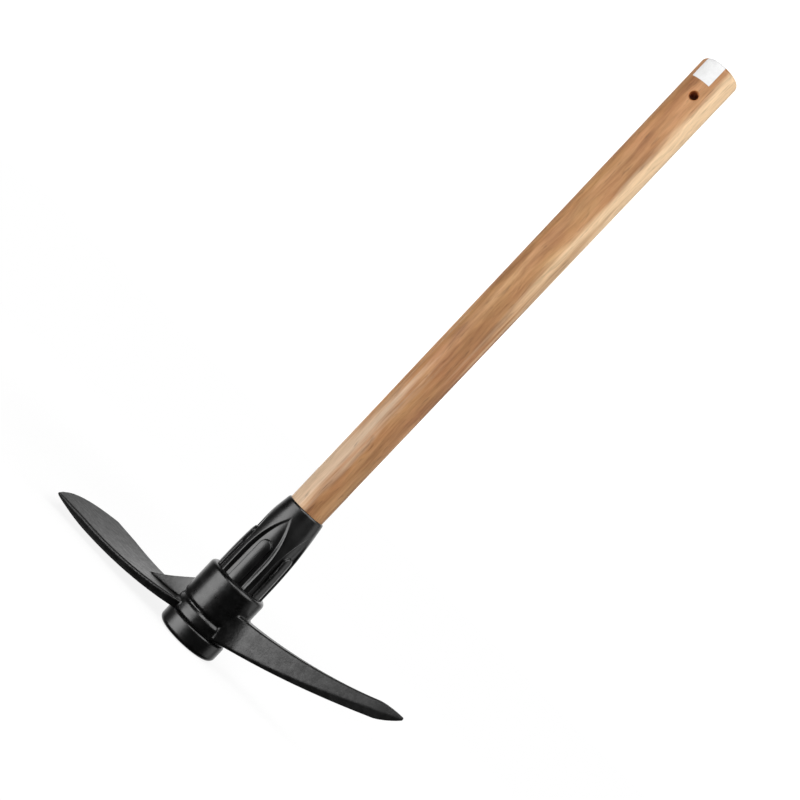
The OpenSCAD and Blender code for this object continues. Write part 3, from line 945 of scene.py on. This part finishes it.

# %% [markdown]
# ## Paler flanks of sapwood and painted sheen, and the drilled hole
#
# The handle has two paler flanks, each partly sapwood and partly painted sheen: one along the grip, on the
# side to the camera's right, and one on the camera's left near the head. Each is a mask over a side of the
# handle. Its edge is ragged, and it begins in long tongues, because sapwood follows the grain. The wall of
# the hang hole is raw wood, dark and dull, and a mask by the distance from the hole's axis finds it.

# %% Masks on the handle
RAGGED_W = 0.010                   # metres by which the flank's edge wanders
RAGGED_NOISE = (0.12, 160.0, 3.0)  # squeeze, scale and detail
EDGE_W = 0.006                     # metres over which it blends
TONGUE_L = 0.5                     # metres by which the flank's start wanders
TONGUE_NOISE = (0.03, 170.0, 2.0)
HOLE_FADE = (0.0009, 0.0002)       # metres outside the hole's radius: plain wood, raw wood


def flank(tree, place, side, edge_at, heights):
    """Mask of one side of the handle, from one height to full at another; long noise moves both edges."""
    across = vector_maths(tree, "DOT_PRODUCT", place, side)
    moved = maths(tree, "MULTIPLY_ADD", long_noise(tree, place, *RAGGED_NOISE), RAGGED_W, across)
    edge = ranged(tree, moved, (edge_at, edge_at + EDGE_W))
    height = add(tree, "ShaderNodeSeparateXYZ", Vector=place).outputs["Z"]
    level = maths(tree, "MULTIPLY_ADD", long_noise(tree, place, *TONGUE_NOISE), TONGUE_L, height)
    reach = ranged(tree, level, [limit + TONGUE_L/2 for limit in heights])
    return maths(tree, "MULTIPLY", edge, reach)


def drilled(tree, place):
    """Mask of the hang hole's wall: the points that lie within the hole's radius of its axis."""
    from_middle = vector_maths(tree, "SUBTRACT", place, (0.0, 0.0, HANG_Z*MM))
    across = vector_maths(tree, "DOT_PRODUCT", from_middle, (np.cos(HANG_TURN), np.sin(HANG_TURN), 0.0))
    height = add(tree, "ShaderNodeSeparateXYZ", Vector=from_middle).outputs["Z"]
    from_axis = add(tree, "ShaderNodeCombineXYZ", X=across, Y=height).outputs[0]
    return ranged(tree, vector_maths(tree, "LENGTH", from_axis), [HANG_R*MM + fade for fade in HOLE_FADE])


print("hang hole at %.1f mm" % HANG_Z)

# %% [markdown]
# ## The wood's colour
#
# A board's colour builds up in layers: brown bands, tinted in patches, then the paler flanks of sapwood and
# painted sheen, then the fibres and pores, which darken whatever lies under them. Mix nodes stack the layers
# in that order. A clear satin lacquer shows as a middling roughness that follows the fibres.

# %% Wood material
COLOUR_A = 6                       # inputs and output of a Mix node that mixes colours
COLOUR_B = 7
COLOUR_OUT = 2
PATCH_TINTS = ((0.0, (1.0, 0.90, 0.90)), (1.0, (0.96, 1.0, 0.92)))
PATCH_SHARE = 0.8
FIBRE_GREYS = ((0.0, 0.62), (0.7, 1.0))
FIBRE_SHARE = 0.5
FIBRE_ROUGH = 0.14
PORE_GREYS = ((0.0, 1.0), (1.0, 0.45))
PORE_SHARE = 0.6
SAP_AND_SHEEN_DARK = 0.78                    # the dark bands of the paler flanks, sapwood and painted sheen, as a share of their colour
SAP_AND_SHEEN_FULL_AT = 0.8                  # share of the way from dark to light bands where that colour is full
HOLE_BROWN = (0.45, 0.17, 0.05, 1.0)
WOOD_BUMP = (0.15, 0.0004)


def blended(tree, amount, first, second, mode="MIX"):
    """Colour between two colours, or one worked on by the other, by an amount."""
    node = add(tree, "ShaderNodeMix", {"data_type": "RGBA", "blend_type": mode}, amount)
    feed(tree, node.inputs[COLOUR_A], first)
    feed(tree, node.inputs[COLOUR_B], second)
    return node.outputs[COLOUR_OUT]


def wood(name, browns, smoothest, flanks=(), hole=False):
    """A wood material: browns of its dark, middle and light bands, its least roughness, and its masks."""
    material, tree, output = blank_material(name)
    place = add(tree, "ShaderNodeTexCoord").outputs["Object"]
    grain = add(tree, "ShaderNodeGroup", {"node_tree": wood_group}, place).outputs
    colour = ramp(tree, grain["Band"], *zip((0.0, 0.5, 1.0), browns))
    colour = blended(tree, PATCH_SHARE, colour, ramp(tree, grain["Patch"], *PATCH_TINTS), "MULTIPLY")
    # Paler flanks: partly sapwood, partly painted sheen on the sides of the handle
    for side, edge_at, heights, sap_and_sheen in flanks:
        pale = ramp(tree, grain["Band"], (0.0, tuple(SAP_AND_SHEEN_DARK*c for c in sap_and_sheen)), (SAP_AND_SHEEN_FULL_AT, sap_and_sheen))
        colour = blended(tree, flank(tree, place, side, edge_at, heights), colour, pale)
    colour = blended(tree, FIBRE_SHARE, colour, ramp(tree, grain["Fibre"], *FIBRE_GREYS), "MULTIPLY")
    colour = blended(tree, PORE_SHARE, colour, ramp(tree, grain["Pore"], *PORE_GREYS), "MULTIPLY")
    rough = ranged(tree, grain["Fibre"], result=(smoothest + FIBRE_ROUGH, smoothest))
    if hole:
        raw = drilled(tree, place)
        colour = blended(tree, raw, colour, HOLE_BROWN)
        rough = maths(tree, "MAXIMUM", rough, raw)
    principled(tree, output, Base_Color=colour, Roughness=rough,
               Normal=bumped(tree, grain["Fibre"], *WOOD_BUMP))
    return material


print("wood layers ready, on the masks:", ", ".join(GRAIN))

# %% Handle wood
HANDLE_BROWNS = ((0.30, 0.132, 0.050), (0.45, 0.222, 0.092), (0.59, 0.325, 0.150))
HANDLE_SMOOTHEST = 0.5
# The grip's flank lies on the side to the camera's right, the other on its left: sapwood and painted sheen
SAP_AND_SHEEN_SIDE = np.array([0.90, 0.44, 0.0])
SAP_AND_SHEEN_FLANKS = (                         # paler flanks of sapwood and painted sheen: side, edge in metres from the axis, heights in metres, colour
    (tuple(SAP_AND_SHEEN_SIDE), 0.0085, (0.32, 0.47), (0.92, 0.645, 0.385)),
    (tuple(-SAP_AND_SHEEN_SIDE), 0.0035, (0.31, 0.21), (0.66, 0.46, 0.30)))

handle_wood = wood("handle_wood", HANDLE_BROWNS, HANDLE_SMOOTHEST, SAP_AND_SHEEN_FLANKS, hole=True)
dress(handle, handle_wood)
print("wood nodes:", len(handle_wood.node_tree.nodes))

# %% [markdown]
# ## Paper, and the wedges
#
# The label is matt white paper. The wedges are plain slim blocks, so their solids are right as they are
# and stay. They get raw wood from the same grain, and rolled steel with a faint mill pattern.

# %% Label paper
PAPER_GREYS = ((0.0, 0.74), (1.0, 0.88))
PAPER_ROUGH = 0.55
PAPER_BUMP = (0.1, 0.0003)
PAPER_PULP = (1400.0, 220.0, 0.6)

paper, tree, output = blank_material("label_paper")
pulp = uneven_surface(tree, *PAPER_PULP)
principled(tree, output, Base_Color=ramp(tree, pulp["Mask"], *PAPER_GREYS), Roughness=PAPER_ROUGH,
           Normal=bumped(tree, pulp["Height"], *PAPER_BUMP))
dress(label, paper)
print("paper nodes:", len(tree.nodes))

# %% Wedge wood and steel
WEDGE_BROWNS = ((0.30, 0.16, 0.075), (0.42, 0.25, 0.13), (0.55, 0.34, 0.18))
WEDGE_SMOOTHEST = 0.6
STEEL_GREYS = ((0.0, 0.34), (1.0, 0.52))
STEEL_ROUGH = (0.32, 0.5)
STEEL_MILL = (1200.0, 140.0, 0.5)

steel, tree, output = blank_material("wedge_steel")
mill = uneven_surface(tree, *STEEL_MILL)
principled(tree, output, Base_Color=ramp(tree, mill["Mask"], *STEEL_GREYS), Metallic=1.0,
           Roughness=ranged(tree, mill["Mask"], result=STEEL_ROUGH))
dress(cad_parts["steel_wedges"], steel)
dress(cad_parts["hardwood_wedge"], wood("wedge_wood", WEDGE_BROWNS, WEDGE_SMOOTHEST))
print("wedges dressed")

# %% [markdown]
# ## Riding and closing
#
# The tool is one rigid body. Each new piece rides on it and stands for its solid, which is hidden. The
# pieces have to stay within the solids' box.

# %% Finish
for piece, node, slot in ((head, "pick_head", "head_paint"), (bush, "fluted_bush", "bush_plastic"),
                          (handle, "handle", "handle_wood"), (label, None, "label_paper")):
    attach(piece, "root")
    if node:
        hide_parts(node)
